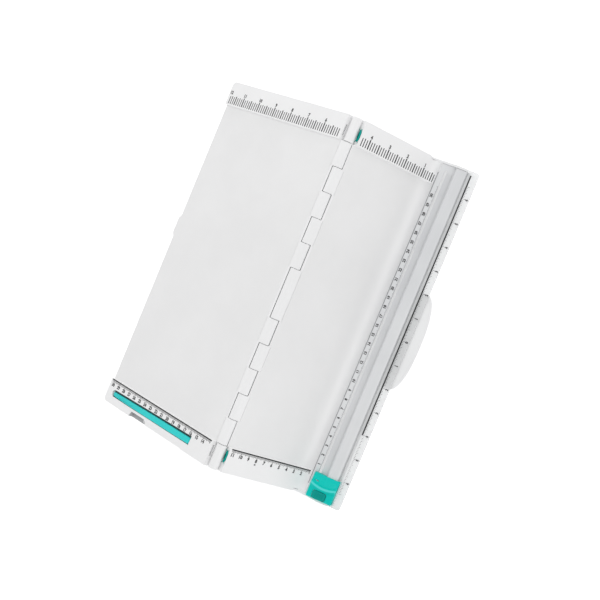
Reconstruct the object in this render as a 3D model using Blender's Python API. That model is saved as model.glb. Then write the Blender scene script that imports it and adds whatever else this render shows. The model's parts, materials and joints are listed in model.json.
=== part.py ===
"""Folding paper trimmer and score board, standing as a tent on its two long outer edges.

Lengths below are millimetres; every mesh is scaled to metres as it is made. Each board is drawn
lying flat in its own frame: x runs outwards from the hinge axis, y along it, z up from the hinge
axis towards the working surface. The arm is drawn closed, with its origin on the arm's pin axis.
Empties then place these frames: the fold, the raised arm, and the whole tent on its base.
"""
import math

import bmesh
import bpy
from mathutils import Vector

MM = 0.001
GAP = 0.3                      # clearance between neighbouring pieces

# Boards
HALF_LENGTH = 181.0            # half the length of both boards, along the hinge
RIGHT_WIDTH = 158.0            # hinge axis to the right board's long edge
LEFT_WIDTH = 186.0             # hinge axis to the left board's long edge
FOLD = math.radians(84.0)      # how far the boards are folded from flat
SURFACE = 4.5                  # working surface above the hinge axis
LIP_TOP = 7.5                  # top of the ruler lips
LIP_INNER = 155.7              # where the lips start, from the middle of the length
CORNER = 5.0                   # corner radius of the boards
EDGE_WALL = 2.5                # wall round the under cover
COVER_SEAT = 1.5               # depth of the rebate that the under cover sits in
CAVITY_TOP = 2.6               # underside of the working surface

# Hinge
BARREL_RADIUS = 4.5
CAP_RADIUS = 5.0
PIN_RADIUS = 1.5
BORE_RADIUS = PIN_RADIUS + GAP
PLATE_START = 3.2              # inner edge of the working surface beside the barrel
LIP_START = 5.5                # inner end face of the lips
BARREL_CLEARANCE = 0.45
# who owns each stretch of the barrel, from the far end to the near end, in equal units
KNUCKLES = "LRLRLRRLRLRL"

# Arm pivot and cut line, on the right board
ARM_PIN_X = 103.0
ARM_PIN_Z = 5.0
ARM_RAISED = math.radians(50.0)
LUG_RADIUS = 3.4
LUG_THICKNESS = 2.6
NOTCH_DEPTH = LUG_THICKNESS + GAP
ARM_PIN_ENDS = (164.0, 179.9)  # each pin's inner and outer end, from the middle
CUT_LINE = 17.5                # blade slot, from the arm's pin axis

# Arm, in its own frame
ARM_UNDERSIDE = -0.2
STRIP_START = 11.0             # left edge of the numbered strip
PLATE_TOP = 2.3
TRACK_LEFT = 26.2
TRACK_RIGHT = 37.6
TRACK_TOP = 6.8
WING_START = 38.5
WING_EDGE = 50.0
TAB_EDGE = 61.3
SLOT_WIDTH = 2.2
SLOT_HALF = 172.0

# Carriage, in the arm's frame
CARRIAGE_NEAR = -178.1
CARRIAGE_FAR = CARRIAGE_NEAR + 24.8
CARRIAGE_LEFT = 14.0
CARRIAGE_RIGHT = 41.0
BLADE_RADIUS = 6.5
BLADE_THICKNESS = 0.4
BLADE_X = CUT_LINE
BLADE_Y = CARRIAGE_NEAR + 12.4
BLADE_Z = 6.35

# Buttons, folder, feet
BUTTON_Y = 165.4
BUTTON_LENGTH = 12.0
BUTTON_HEIGHT = 4.2
FOLDER_TIP = (-173.0, -169.6)
FOLDER_LENGTH = 136.0
FOLDER_TILT = math.radians(0.4)
PRISE_GAP = 0.9                # room above the folder to prise it out
FOLDER_THICKNESS = 3.0
POCKET_FLOOR = 4.9
FINGER_FLOOR = 2.4             # bottom of the finger notch below the folder
FOOT_RADIUS = 6.0
FOOT_HEIGHT = 1.9


# ---------------------------------------------------------------- scene, materials, basic solids

def clear_scene():
    for old in list(bpy.data.objects):
        bpy.data.objects.remove(old, do_unlink=True)


def plastic(name, colour, roughness, metallic=0.0, alpha=1.0):
    mat = bpy.data.materials.new(name)
    mat.use_nodes = True
    shader = mat.node_tree.nodes["Principled BSDF"]
    shader.inputs["Base Color"].default_value = (*colour, 1.0)
    shader.inputs["Roughness"].default_value = roughness
    shader.inputs["Metallic"].default_value = metallic
    shader.inputs["Alpha"].default_value = alpha
    mat.diffuse_color = (*colour, alpha)
    return mat


def new_object(name, bm):
    bmesh.ops.recalc_face_normals(bm, faces=bm.faces)
    bmesh.ops.scale(bm, vec=(MM, MM, MM), verts=bm.verts)
    mesh = bpy.data.meshes.new(name)
    bm.to_mesh(mesh)
    bm.free()
    obj = bpy.data.objects.new(name, mesh)
    bpy.context.collection.objects.link(obj)
    return obj


def extrude(name, points, offset):
    """A closed solid: the flat outline `points`, pushed along `offset`."""
    bm = bmesh.new()
    face = bm.faces.new([bm.verts.new(p) for p in points])
    pushed = bmesh.ops.extrude_face_region(bm, geom=[face])
    verts = [v for v in pushed["geom"] if isinstance(v, bmesh.types.BMVert)]
    bmesh.ops.translate(bm, vec=offset, verts=verts)
    return new_object(name, bm)


def prism_z(name, outline, z0, z1):
    return extrude(name, [(x, y, z0) for x, y in outline], (0, 0, z1 - z0))


def prism_y(name, outline, y0, y1):
    return extrude(name, [(x, y0, z) for x, z in outline], (0, y1 - y0, 0))


def prism_x(name, outline, x0, x1):
    return extrude(name, [(x0, y, z) for y, z in outline], (x1 - x0, 0, 0))


def block(name, x0, x1, y0, y1, z0, z1):
    return prism_z(name, [(x0, y0), (x1, y0), (x1, y1), (x0, y1)], z0, z1)


def arc(cx, cy, radius, start, end, steps):
    """Points on a circular arc, angles in degrees."""
    points = []
    for i in range(steps + 1):
        angle = math.radians(start + (end - start) * i / steps)
        points.append((cx + radius * math.cos(angle), cy + radius * math.sin(angle)))
    return points


def circle(cx, cy, radius, steps=24):
    return arc(cx, cy, radius, 0, 360, steps)[:-1]


def rounded_box(x0, x1, y0, y1, radius, steps=4):
    return (arc(x1 - radius, y1 - radius, radius, 0, 90, steps)
            + arc(x0 + radius, y1 - radius, radius, 90, 180, steps)
            + arc(x0 + radius, y0 + radius, radius, 180, 270, steps)
            + arc(x1 - radius, y0 + radius, radius, 270, 360, steps))


def turned(name, profile, steps=24):
    """A solid of revolution about z: `profile` holds (radius, z) from one end of the axis to the other."""
    bm = bmesh.new()
    verts = [bm.verts.new((r, 0, z)) for r, z in profile]
    edges = [bm.edges.new(pair) for pair in zip(verts, verts[1:])]
    bmesh.ops.spin(bm, geom=verts + edges, cent=(0, 0, 0), axis=(0, 0, 1),
                   angle=2 * math.pi, steps=steps, use_merge=True)
    bmesh.ops.remove_doubles(bm, verts=bm.verts, dist=0.001)
    return new_object(name, bm)


def place(obj, x=0.0, y=0.0, z=0.0, turn=None):
    """Moves the mesh itself, so that the object's origin stays on its frame's origin."""
    for v in obj.data.vertices:
        p = Vector(v.co)
        if turn == "y":                # the solid's z axis now runs along +y
            p = Vector((p.x, p.z, -p.y))
        elif turn == "-y":
            p = Vector((p.x, -p.z, p.y))
        elif turn == "x":              # and here along +x
            p = Vector((p.z, p.y, -p.x))
        v.co = p + Vector((x, y, z)) * MM
    return obj


def combine(target, tool, operation):
    step = target.modifiers.new(operation, "BOOLEAN")
    step.operation = operation
    step.solver = "EXACT"
    step.object = tool
    graph = bpy.context.evaluated_depsgraph_get()
    graph.update()
    result = bpy.data.meshes.new_from_object(target.evaluated_get(graph))
    target.modifiers.clear()
    target.data = result
    bpy.data.objects.remove(tool, do_unlink=True)
    return target


def cut(target, *tools):
    for tool in tools:
        combine(target, tool, "DIFFERENCE")
    return target


def fuse(target, *tools):
    for tool in tools:
        combine(target, tool, "UNION")
    return target


def empty(name, parent=None, location=(0, 0, 0), turn_y=0.0):
    frame = bpy.data.objects.new(name, None)
    frame.location = Vector(location) * MM
    frame.rotation_euler = (0, turn_y, 0)
    frame.parent = parent
    bpy.context.collection.objects.link(frame)
    return frame


def finish(obj, name, mat, frame):
    obj.name = name
    obj.data.name = name
    obj.data.materials.clear()
    obj.data.materials.append(mat)
    obj.data.shade_smooth()
    obj.data.set_sharp_from_angle(angle=math.radians(30))
    obj.parent = frame
    return obj


# ---------------------------------------------------------------- boards

def knuckle_spans(owner):
    """(y0, y1) of each barrel stretch that belongs to `owner`; neighbours of one owner are one."""
    unit = 2 * LIP_INNER / len(KNUCKLES)
    spans = []
    for i, who in enumerate(KNUCKLES):
        top = LIP_INNER - i * unit
        if who != owner:
            continue
        if spans and abs(spans[-1][0] - top) < 0.01:
            spans[-1] = (top - unit, spans[-1][1])
        else:
            spans.append((top - unit, top))
    return spans


def knuckle_outline(side):
    """Barrel section running off tangentially into the board's plate."""
    outline = arc(0, 0, BARREL_RADIUS, 90, 305, 14) + [(5.2, 0.0), (9.0, 0.0), (9.0, SURFACE)]
    return [(side * x, z) for x, z in outline]


def mirrored(outline, side):
    return [(side * x, y) for x, y in outline]


def board_plan(width, side, notched):
    """Plan of a board: narrow beside the barrel, set back at the lips, rounded at the outside."""
    half = []
    half.append((PLATE_START, LIP_INNER))
    half.append((LIP_START, LIP_INNER))
    half.append((LIP_START, HALF_LENGTH))
    if notched:
        inner = HALF_LENGTH - NOTCH_DEPTH
        left = ARM_PIN_X - LUG_RADIUS - GAP
        right = ARM_PIN_X + LUG_RADIUS + GAP
        half += [(left, HALF_LENGTH), (left, inner), (right, inner), (right, HALF_LENGTH)]
    half += arc(width - CORNER, HALF_LENGTH - CORNER, CORNER, 90, 0, 5)
    other = [(x, -y) for x, y in reversed(half)]
    return mirrored(half + other, side)


def lip_plan(end, side, width, notched):
    """Plan of one ruler lip; `end` is +1 at the far end and -1 at the near end."""
    inner = HALF_LENGTH - NOTCH_DEPTH
    if notched:
        left = ARM_PIN_X - LUG_RADIUS - GAP
        stop = ARM_PIN_X + STRIP_START - 0.8
        plan = [(LIP_START, LIP_INNER), (stop, LIP_INNER), (stop, inner), (left, inner),
                (left, HALF_LENGTH), (LIP_START, HALF_LENGTH)]
    else:
        plan = [(LIP_START, LIP_INNER), (width, LIP_INNER)]
        plan += arc(width - CORNER, HALF_LENGTH - CORNER, CORNER, 0, 90, 5)
        plan += [(LIP_START, HALF_LENGTH)]
    return [(side * x, end * y) for x, y in plan]


def board_shell(side, width, owner, notched):
    shell = prism_z("shell", board_plan(width, side, notched), 0.0, SURFACE)
    for end in (1, -1):
        fuse(shell, prism_z("lip", lip_plan(end, side, width, notched), COVER_SEAT + 1.0, LIP_TOP))
    others = knuckle_spans("R" if owner == "L" else "L")
    for y0, y1 in others:
        cut(shell, prism_y("clearance", circle(0, 0, BARREL_RADIUS + BARREL_CLEARANCE, 32),
                           y0 - 0.1, y1 + 0.1))
    for y0, y1 in knuckle_spans(owner):
        fuse(shell, prism_y("knuckle", knuckle_outline(side), y0 + 0.2, y1 - 0.2))
    cut(shell, prism_y("bore", circle(0, 0, BORE_RADIUS, 16), -HALF_LENGTH, HALF_LENGTH))
    return shell


def cover_box(side, width):
    """x and y limits of the rebate for the under cover."""
    x0, x1 = sorted((side * 10.0, side * (width - EDGE_WALL)))
    return x0, x1, -(HALF_LENGTH - 6.7), HALF_LENGTH - 6.7


def screw_places(side, width):
    return [(side * x, y) for x in (28.0, width - 18.0) for y in (-166.0, 166.0)]


def under_cover(side, width):
    x0, x1, y0, y1 = cover_box(side, width)
    plate = prism_z("cover", rounded_box(x0 + GAP, x1 - GAP, y0 + GAP, y1 - GAP, 3.0, 3),
                    0.2, COVER_SEAT - GAP)
    for x, y in screw_places(side, width):
        cut(plate, prism_z("hole", circle(x, y, 1.3, 12), -1.0, 3.0))
    return plate


def cover_screw(x, y):
    head = [(0.0, -0.7), (1.6, -0.7), (2.0, -0.4), (2.0, -0.1), (1.0, -0.1), (1.0, 3.5), (0.0, 3.9)]
    return place(turned("screw", head, 12), x, y)


def rubber_foot(x, y):
    pad = [(0.0, -FOOT_HEIGHT), (FOOT_RADIUS - 0.8, -FOOT_HEIGHT), (FOOT_RADIUS, -FOOT_HEIGHT + 0.8),
           (FOOT_RADIUS, -0.1), (0.0, -0.1)]
    return place(turned("foot", pad, 20), x, y)


def hollow_underside(shell, side, width, spans):
    """The rebate for the cover, shallow pockets between the ribs, and the screw holes."""
    x0, x1, y0, y1 = cover_box(side, width)
    cut(shell, prism_z("rebate", rounded_box(x0, x1, y0, y1, 3.0, 3), -1.0, COVER_SEAT))
    for a, b in spans:
        p0, p1 = sorted((side * a, side * b))
        for middle in (-76.5, 76.5):
            cut(shell, block("pocket", p0, p1, middle - 75.0, middle + 75.0, 1.0, CAVITY_TOP))
    for x, y in screw_places(side, width):
        cut(shell, prism_z("screw_hole", circle(x, y, 1.3, 12), 1.0, 4.2))


def right_board():
    shell = board_shell(1, RIGHT_WIDTH, "R", True)
    hollow_underside(shell, 1, RIGHT_WIDTH, ((13.0, 62.0), (64.0, 114.0), (127.0, 152.0)))
    channel = ARM_PIN_X + CUT_LINE
    cut(shell, block("strip_channel", channel - 3.6, channel + 3.6, -170.0, 170.0, 2.3, 6.0))
    for end in (1, -1):
        pin_in = ARM_PIN_ENDS[0] - GAP
        cut(shell, prism_y("pin_bore", circle(ARM_PIN_X, ARM_PIN_Z, BORE_RADIUS, 16),
                           end * pin_in, end * (HALF_LENGTH + 1)))
        cut(shell, prism_x("button_pocket", button_outline(end, 0.35), LIP_START - 1.0, 13.2))
    return shell


def left_board():
    shell = board_shell(-1, LEFT_WIDTH, "L", False)
    hollow_underside(shell, -1, LEFT_WIDTH, ((13.0, 68.0), (70.0, 125.0), (127.0, 180.0)))
    for end in (1, -1):
        cut(shell, block("catch_slot", -LIP_START - 4.0, -LIP_START + 1.0,
                         end * BUTTON_Y - 5.4, end * BUTTON_Y + 5.4, 3.6, 5.4))
    tab = [(-LEFT_WIDTH + 1.0, 7.0), (-LEFT_WIDTH, 7.0), (-LEFT_WIDTH - 2.9, 11.0),
           (-LEFT_WIDTH - 2.9, 27.0), (-LEFT_WIDTH, 31.0), (-LEFT_WIDTH + 1.0, 31.0)]
    fuse(shell, prism_z("latch_tab", tab, 2.7, SURFACE))
    for rise in (0.0, PRISE_GAP):
        pocket = [(x, y + rise) for x, y in folder_outline(0.5)]
        cut(shell, prism_z("folder_pocket", pocket, POCKET_FLOOR, LIP_TOP + 1))
    cut(shell, prism_z("finger_notch", [(-138.0, -182.0), (-110.0, -182.0), (-112.5, -175.5),
                                        (-135.5, -175.5)], FINGER_FLOOR, LIP_TOP + 1))
    cut(shell, prism_x("finger_slope", [(-182.0, 4.6), (-182.0, 9.0), (-176.0, 9.0), (-176.0, LIP_TOP)],
                       -111.0, -46.0))
    return shell


def cutting_strip():
    middle = ARM_PIN_X + CUT_LINE
    strip = block("strip", middle - 3.3, middle + 3.3, -169.7, 169.7, 2.6, SURFACE)
    return cut(strip, block("groove", middle - 0.6, middle + 0.6, -168.5, 168.5, 3.3, 6.0))


# ---------------------------------------------------------------- hinge and its buttons

def hinge_end_cap(end):
    inner, outer = LIP_INNER + GAP, HALF_LENGTH
    profile = [(0.0, inner), (CAP_RADIUS, inner), (CAP_RADIUS, outer - 1.0),
               (CAP_RADIUS - 1.0, outer), (0.0, outer)]
    cap = place(turned("cap", profile, 32), turn="y" if end > 0 else "-y")
    return cut(cap, prism_y("bore", circle(0, 0, BORE_RADIUS, 16), 0.0, end * (HALF_LENGTH - 2.7)))


def rod(radius, y0, y1, x=0.0, z=0.0, steps=16):
    tip = 0.3
    profile = [(0.0, y0), (radius - tip, y0), (radius, y0 + tip), (radius, y1 - tip),
               (radius - tip, y1), (0.0, y1)]
    return place(turned("rod", profile, steps), x, 0.0, z, "y")


def button_outline(end, extra):
    """Lens-shaped oval in the lip's end face, (y, z)."""
    a = BUTTON_LENGTH / 2 + extra
    b = BUTTON_HEIGHT / 2 + extra
    return [(end * BUTTON_Y + a * math.cos(t), 4.6 + b * math.sin(t))
            for t in (2 * math.pi * i / 20 for i in range(20))]


def lock_button(end):
    return prism_x("button", button_outline(end, 0.0), 4.7, 10.2)


def leaf(name, length, rise, thickness, width):
    """A bowed leaf spring lying along x, its ends at z = 0 and its middle at z = rise."""
    steps = 8
    xs = [length * (i / steps - 0.5) for i in range(steps + 1)]
    low = [(x, rise * (1 - (2 * x / length) ** 2)) for x in xs]
    high = [(x, z + thickness) for x, z in reversed(low)]
    return prism_y(name, low + high, -width / 2, width / 2)


def lock_spring(end):
    spring = leaf("spring", 9.0, 1.4, 0.3, 1.8)
    for v in spring.data.vertices:               # bow towards the button, length along y
        x, y, z = v.co
        v.co = (12.9 * MM - z, end * BUTTON_Y * MM + x, 4.6 * MM + y)
    flip_if_inside_out(spring)
    return spring


def flip_if_inside_out(obj):
    bm = bmesh.new()
    bm.from_mesh(obj.data)
    bmesh.ops.recalc_face_normals(bm, faces=bm.faces)
    bm.to_mesh(obj.data)
    bm.free()


# ---------------------------------------------------------------- bone folder

def folder_outline(extra):
    """Plan of the folder in its pocket: a blunt narrow tip on the left, a square end on the right."""
    steps = 10
    upper = []
    for i in range(steps + 1):
        s = FOLDER_LENGTH * i / steps
        half_width = 2.6 + 0.9 * math.sin(math.pi * min(1.0, s / 150.0) ** 0.8 / 1.9)
        upper.append((s, half_width + extra))
    start, end = -extra, FOLDER_LENGTH + extra
    tip = arc(0.6, 0.0, upper[0][1], 270, 90, 6)
    points = [(start + x, y) for x, y in tip] + upper[1:-1]
    points += [(end, upper[-1][1]), (end, -upper[-1][1])] + [(x, -y) for x, y in reversed(upper[1:-1])]
    turn_cos, turn_sin = math.cos(FOLDER_TILT), math.sin(FOLDER_TILT)
    return [(FOLDER_TIP[0] + x * turn_cos - y * turn_sin, FOLDER_TIP[1] + x * turn_sin + y * turn_cos)
            for x, y in points]


def bone_folder():
    return prism_z("folder", folder_outline(0.0), POCKET_FLOOR + 0.2, POCKET_FLOOR + 0.2 + FOLDER_THICKNESS)


# ---------------------------------------------------------------- arm

def arm_rail():
    low = ARM_UNDERSIDE
    section = [(STRIP_START, low), (29.2, low), (29.2, 4.6), (34.6, 4.6), (34.6, low), (41.3, low),
               (41.3, 0.8), (38.2, 0.8), (38.2, PLATE_TOP), (36.2, PLATE_TOP), (36.2, 4.2),
               (TRACK_RIGHT, 4.2), (TRACK_RIGHT, 5.4), (33.6, TRACK_TOP), (27.4, TRACK_TOP),
               (TRACK_LEFT, 5.6), (TRACK_LEFT, 4.2), (27.6, 4.2), (27.6, PLATE_TOP),
               (STRIP_START + 0.6, PLATE_TOP), (STRIP_START, PLATE_TOP - 0.6)]
    end = HALF_LENGTH - NOTCH_DEPTH
    rail = prism_y("rail", section, -end, end)
    return cut(rail, block("slot", CUT_LINE - SLOT_WIDTH / 2, CUT_LINE + SLOT_WIDTH / 2,
                           -SLOT_HALF, SLOT_HALF, -2.0, 5.0))


def clear_ruler():
    corners = rounded_box(WING_START, WING_EDGE, -HALF_LENGTH, HALF_LENGTH, 3.0, 4)
    square = [(x, y) if x > WING_START + 3.0 else (WING_START, y) for x, y in corners]
    outline = []
    for x, y in square:
        if x == WING_START:
            y = math.copysign(HALF_LENGTH, y)
        if not outline or outline[-1] != (x, y):
            outline.append((x, y))
    return prism_z("wing", outline, 1.1, 2.7)


def finger_tab():
    steps = 20
    middle, half = 1.0, 50.5
    outline = [(41.6, middle - half), (WING_EDGE, middle - half)]
    for i in range(1, steps):
        t = -1 + 2 * i / steps
        bulge = (1 - abs(t) ** 2.6) ** 0.62
        outline.append((WING_EDGE + (TAB_EDGE - WING_EDGE) * bulge, middle + half * t))
    outline += [(WING_EDGE, middle + half), (41.6, middle + half)]
    return prism_z("tab", outline, ARM_UNDERSIDE, 0.8)


def arm_end_cap(end):
    """Closes the rail's end and reaches back to the pin as a round lug."""
    low = ARM_UNDERSIDE
    section = arc(0, 0, LUG_RADIUS, 80, 356, 16)
    section += [(LUG_RADIUS + 0.2, low), (38.2, low), (38.2, 4.6), (34.6, 7.5), (25.6, 7.5),
                (21.0, 3.4), (4.0, 3.0)]
    inner = HALF_LENGTH - LUG_THICKNESS
    cap = prism_y("cap", section, end * inner, end * HALF_LENGTH)
    for v in cap.data.vertices:                  # outer face: slightly bowed outwards
        x, y, z = v.co / MM
        if abs(y) > inner + 1:
            v.co.y = end * (HALF_LENGTH - 0.9 * ((x - 24.0) / 27.0) ** 2) * MM
    flip_if_inside_out(cap)
    cut(cap, prism_y("bore", circle(0, 0, BORE_RADIUS, 16), 0.0, end * (ARM_PIN_ENDS[1] + GAP)))
    cut(cap, prism_y("screw_hole", circle(31.9, 2.6, 1.3, 12), 0.0, end * (HALF_LENGTH + 2)))
    cut(cap, prism_y("counterbore", circle(31.9, 2.6, 2.3, 16), end * (HALF_LENGTH - 1.9),
                     end * (HALF_LENGTH + 2)))
    return cap


def arm_cap_screw(end):
    shank, head = 1.0, 1.9
    top = HALF_LENGTH - 0.4
    profile = [(0.0, 168.5), (shank, 169.0), (shank, top - 1.2), (head, top - 1.2), (head, top - 0.4),
               (head - 0.4, top), (0.0, top)]
    return place(turned("screw", profile, 12), 31.9, 0.0, 2.6, "y" if end > 0 else "-y")


# ---------------------------------------------------------------- carriage

def carriage_body():
    near, far = CARRIAGE_NEAR, CARRIAGE_FAR
    side = [(near, 4.2), (near, 12.4), (near + 0.8, 13.4), (near + 4.0, 13.0), (near + 8.5, 13.2),
            (near + 11.5, 15.0), (near + 13.5, 15.3), (near + 16.0, 14.3), (far - 1.0, 9.4),
            (far, 8.2), (far, 4.2)]
    body = prism_x("body", side, CARRIAGE_LEFT, CARRIAGE_RIGHT)
    fuse(body, block("skirt", CARRIAGE_LEFT, 22.9, near, far, 2.6, 6.0))
    cut(body, block("track_way", 25.9, 37.9, near - 1, far + 1, 0.0, 7.1))
    cut(body, block("blade_room", 16.1, 21.0, near + 5.5, near + 18.3, 0.0, 11.8))
    cut(body, prism_x("blade_clearance", circle(BLADE_Y, BLADE_Z, BLADE_RADIUS + 0.8, 28), 16.5, 18.3))
    cut(body, block("spring_room", 18.0, 33.8, near + 0.6, near + 9.1, 8.2, 12.3))
    cut(body, block("button_hole", 19.1, 33.7, near + 0.6, near + 8.9, 11.5, 20.0))
    return body


def carriage_guard_left():
    return block("guard", CARRIAGE_LEFT - 1.3, CARRIAGE_LEFT - 0.3, CARRIAGE_NEAR, CARRIAGE_FAR, 2.6, 8.6)


def carriage_guard_right():
    """Clear side plate with a foot that hooks under the track's head."""
    section = [(36.5, 3.0), (42.3, 3.0), (42.3, 8.6), (41.3, 8.6), (41.3, 3.9), (36.5, 3.9)]
    return prism_y("guard", section, CARRIAGE_NEAR, CARRIAGE_FAR)


def carriage_shoe():
    return block("shoe", 23.2, 27.3, CARRIAGE_NEAR + 0.5, CARRIAGE_FAR - 0.5, 2.6, 3.9)


def blade_holder():
    near = CARRIAGE_NEAR
    plate = block("holder", 18.4, 20.6, near + 6.7, near + 17.9, 4.0, 11.5)
    fuse(plate, block("bridge", 18.4, 33.0, near + 1.1, near + 8.3, 10.6, 11.9))
    return cut(plate, place(turned("axle_hole", [(0, 10), (1.5, 10), (1.5, 30), (0, 30)], 16),
                            0.0, BLADE_Y, BLADE_Z, "x"))


def press_button():
    plan = rounded_box(19.5, 33.3, CARRIAGE_NEAR + 1.0, CARRIAGE_NEAR + 8.5, 1.5, 3)
    return prism_z("button", plan, 12.2, 13.8)


def press_spring():
    return place(leaf("spring", 10.0, 0.55, 0.25, 3.0), 27.0, CARRIAGE_NEAR + 4.8, 8.5)


def blade_axle():
    profile = [(0.0, 16.4), (1.9, 16.4), (1.9, 17.0), (1.2, 17.0), (1.2, 20.9), (0.0, 20.9)]
    return place(turned("axle", profile, 16), 0.0, BLADE_Y, BLADE_Z, "x")


def rotary_blade():
    half = BLADE_THICKNESS / 2
    profile = [(1.5, -half), (BLADE_RADIUS - 0.9, -half), (BLADE_RADIUS, 0.0),
               (BLADE_RADIUS - 0.9, half), (1.5, half), (1.5, -half)]
    bm = bmesh.new()
    ring = [bm.verts.new((r, 0, z)) for r, z in profile[:-1]]
    edges = [bm.edges.new((ring[i], ring[(i + 1) % len(ring)])) for i in range(len(ring))]
    bmesh.ops.spin(bm, geom=ring + edges, cent=(0, 0, 0), axis=(0, 0, 1),
                   angle=2 * math.pi, steps=40, use_merge=True)
    bmesh.ops.remove_doubles(bm, verts=bm.verts, dist=0.0001)
    # the blade turns on its own origin, so its mesh stays centred and the object is placed
    blade = place(new_object("blade", bm), turn="x")
    blade.location = Vector((BLADE_X, BLADE_Y, BLADE_Z)) * MM
    return blade


# ---------------------------------------------------------------- assembly

def leg_angles():
    """Tilt of each board that brings both long edges down to one level."""
    left = math.atan2(RIGHT_WIDTH * math.sin(FOLD), LEFT_WIDTH + RIGHT_WIDTH * math.cos(FOLD))
    return left, FOLD - left


def world_box():
    bpy.context.view_layer.update()
    corners = []
    for obj in bpy.data.objects:
        if obj.type == "MESH":
            corners += [obj.matrix_world @ v.co for v in obj.data.vertices]
    low = Vector([min(c[i] for c in corners) for i in range(3)])
    high = Vector([max(c[i] for c in corners) for i in range(3)])
    return low, high


def main():
    clear_scene()
    board_white = plastic("board_white", (0.80, 0.80, 0.80), 0.45)
    cover_grey = plastic("cover_grey", (0.62, 0.63, 0.64), 0.55)
    strip_grey = plastic("strip_grey", (0.45, 0.46, 0.47), 0.6)
    rail_white = plastic("rail_white", (0.74, 0.75, 0.76), 0.3)
    clear = plastic("clear", (0.93, 0.95, 0.95), 0.08, alpha=0.35)
    clear_cyan = plastic("clear_cyan", (0.62, 0.90, 0.90), 0.1, alpha=0.5)
    tab_grey = plastic("tab_grey", (0.72, 0.73, 0.74), 0.4)
    teal = plastic("teal", (0.0, 0.51, 0.43), 0.35)
    teal_dark = plastic("teal_dark", (0.0, 0.30, 0.26), 0.4)
    folder_teal = plastic("folder_teal", (0.13, 0.73, 0.68), 0.35)
    steel = plastic("steel", (0.6, 0.6, 0.62), 0.3, metallic=1.0)
    rubber = plastic("rubber", (0.08, 0.08, 0.08), 0.8)

    left_angle, right_angle = leg_angles()
    tent = empty("tent")
    right = empty("right_board_frame", tent, turn_y=right_angle)
    left = empty("left_board_frame", tent, turn_y=-left_angle)
    arm = empty("arm_frame", right, (ARM_PIN_X, 0, ARM_PIN_Z), -ARM_RAISED)

    finish(right_board(), "right_board", board_white, right)
    finish(under_cover(1, RIGHT_WIDTH), "right_under_cover", cover_grey, right)
    finish(cutting_strip(), "cutting_strip", strip_grey, right)
    finish(rod(PIN_RADIUS, -178.0, 178.0), "hinge_pin", steel, right)

    finish(left_board(), "left_board", board_white, left)
    finish(under_cover(-1, LEFT_WIDTH), "left_under_cover", cover_grey, left)
    finish(bone_folder(), "bone_folder", folder_teal, left)

    right_feet = [(x, y) for x in (60.0, 143.0) for y in (-135.0, 135.0)]
    left_feet = [(-x, y) for x in (75.0, 168.0) for y in (-150.0, 150.0)]
    for number in range(4):
        label = str(number + 1)
        right_screw = cover_screw(*screw_places(1, RIGHT_WIDTH)[number])
        left_screw = cover_screw(*screw_places(-1, LEFT_WIDTH)[number])
        finish(right_screw, "right_cover_screw_" + label, steel, right)
        finish(left_screw, "left_cover_screw_" + label, steel, left)
        finish(rubber_foot(*right_feet[number]), "right_foot_" + label, rubber, right)
        finish(rubber_foot(*left_feet[number]), "left_foot_" + label, rubber, left)

    for end, label in ((1, "top"), (-1, "bottom")):
        finish(hinge_end_cap(end), "hinge_end_cap_" + label, board_white, right)
        finish(lock_button(end), "lock_button_" + label, teal_dark, right)
        finish(lock_spring(end), "lock_spring_" + label, steel, right)
        pin_y = sorted(end * y for y in ARM_PIN_ENDS)
        pin = rod(PIN_RADIUS, *pin_y, ARM_PIN_X, ARM_PIN_Z)
        finish(pin, "arm_pin_" + label, steel, right)
        finish(arm_end_cap(end), "arm_end_cap_" + label, tab_grey, arm)
        finish(arm_cap_screw(end), "arm_cap_screw_" + label, steel, arm)

    finish(arm_rail(), "arm_rail", rail_white, arm)
    finish(clear_ruler(), "clear_ruler", clear, arm)
    finish(finger_tab(), "finger_tab", tab_grey, arm)

    finish(carriage_body(), "carriage_body", teal, arm)
    finish(carriage_guard_left(), "carriage_guard_left", clear_cyan, arm)
    finish(carriage_guard_right(), "carriage_guard_right", clear_cyan, arm)
    finish(carriage_shoe(), "carriage_shoe", cover_grey, arm)
    finish(blade_holder(), "blade_holder", cover_grey, arm)
    finish(press_button(), "press_button", teal_dark, arm)
    finish(press_spring(), "press_spring", steel, arm)
    finish(blade_axle(), "blade_axle", steel, arm)
    finish(rotary_blade(), "rotary_blade", steel, arm)

    low, high = world_box()
    tent.location = (-(low.x + high.x) / 2, -(low.y + high.y) / 2, -low.z)
    bpy.context.view_layer.update()


main()
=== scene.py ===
import json
import math

import bmesh
import bpy
from mathutils import Matrix, Quaternion, Vector


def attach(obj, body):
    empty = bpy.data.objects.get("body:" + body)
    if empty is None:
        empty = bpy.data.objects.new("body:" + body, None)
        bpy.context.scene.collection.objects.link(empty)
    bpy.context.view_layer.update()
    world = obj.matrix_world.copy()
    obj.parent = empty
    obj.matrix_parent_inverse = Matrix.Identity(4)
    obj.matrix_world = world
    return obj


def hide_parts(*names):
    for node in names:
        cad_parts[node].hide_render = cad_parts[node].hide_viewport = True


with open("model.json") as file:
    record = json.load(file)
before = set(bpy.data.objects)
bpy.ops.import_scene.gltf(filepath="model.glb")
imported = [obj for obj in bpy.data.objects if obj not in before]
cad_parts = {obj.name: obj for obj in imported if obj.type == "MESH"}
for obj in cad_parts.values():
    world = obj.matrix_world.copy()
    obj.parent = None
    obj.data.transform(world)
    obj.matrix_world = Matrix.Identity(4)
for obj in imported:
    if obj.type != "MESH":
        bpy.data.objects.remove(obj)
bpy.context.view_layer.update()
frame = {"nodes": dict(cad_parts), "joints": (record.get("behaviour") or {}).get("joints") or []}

mm = 0.001
inch = 25.4
alongHinge = Vector((0, 1, 0))
scene = bpy.context.scene
joints = {joint["name"]: joint for joint in frame["joints"]}
print("frame loaded:", len(frame["nodes"]), "nodes")


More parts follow.
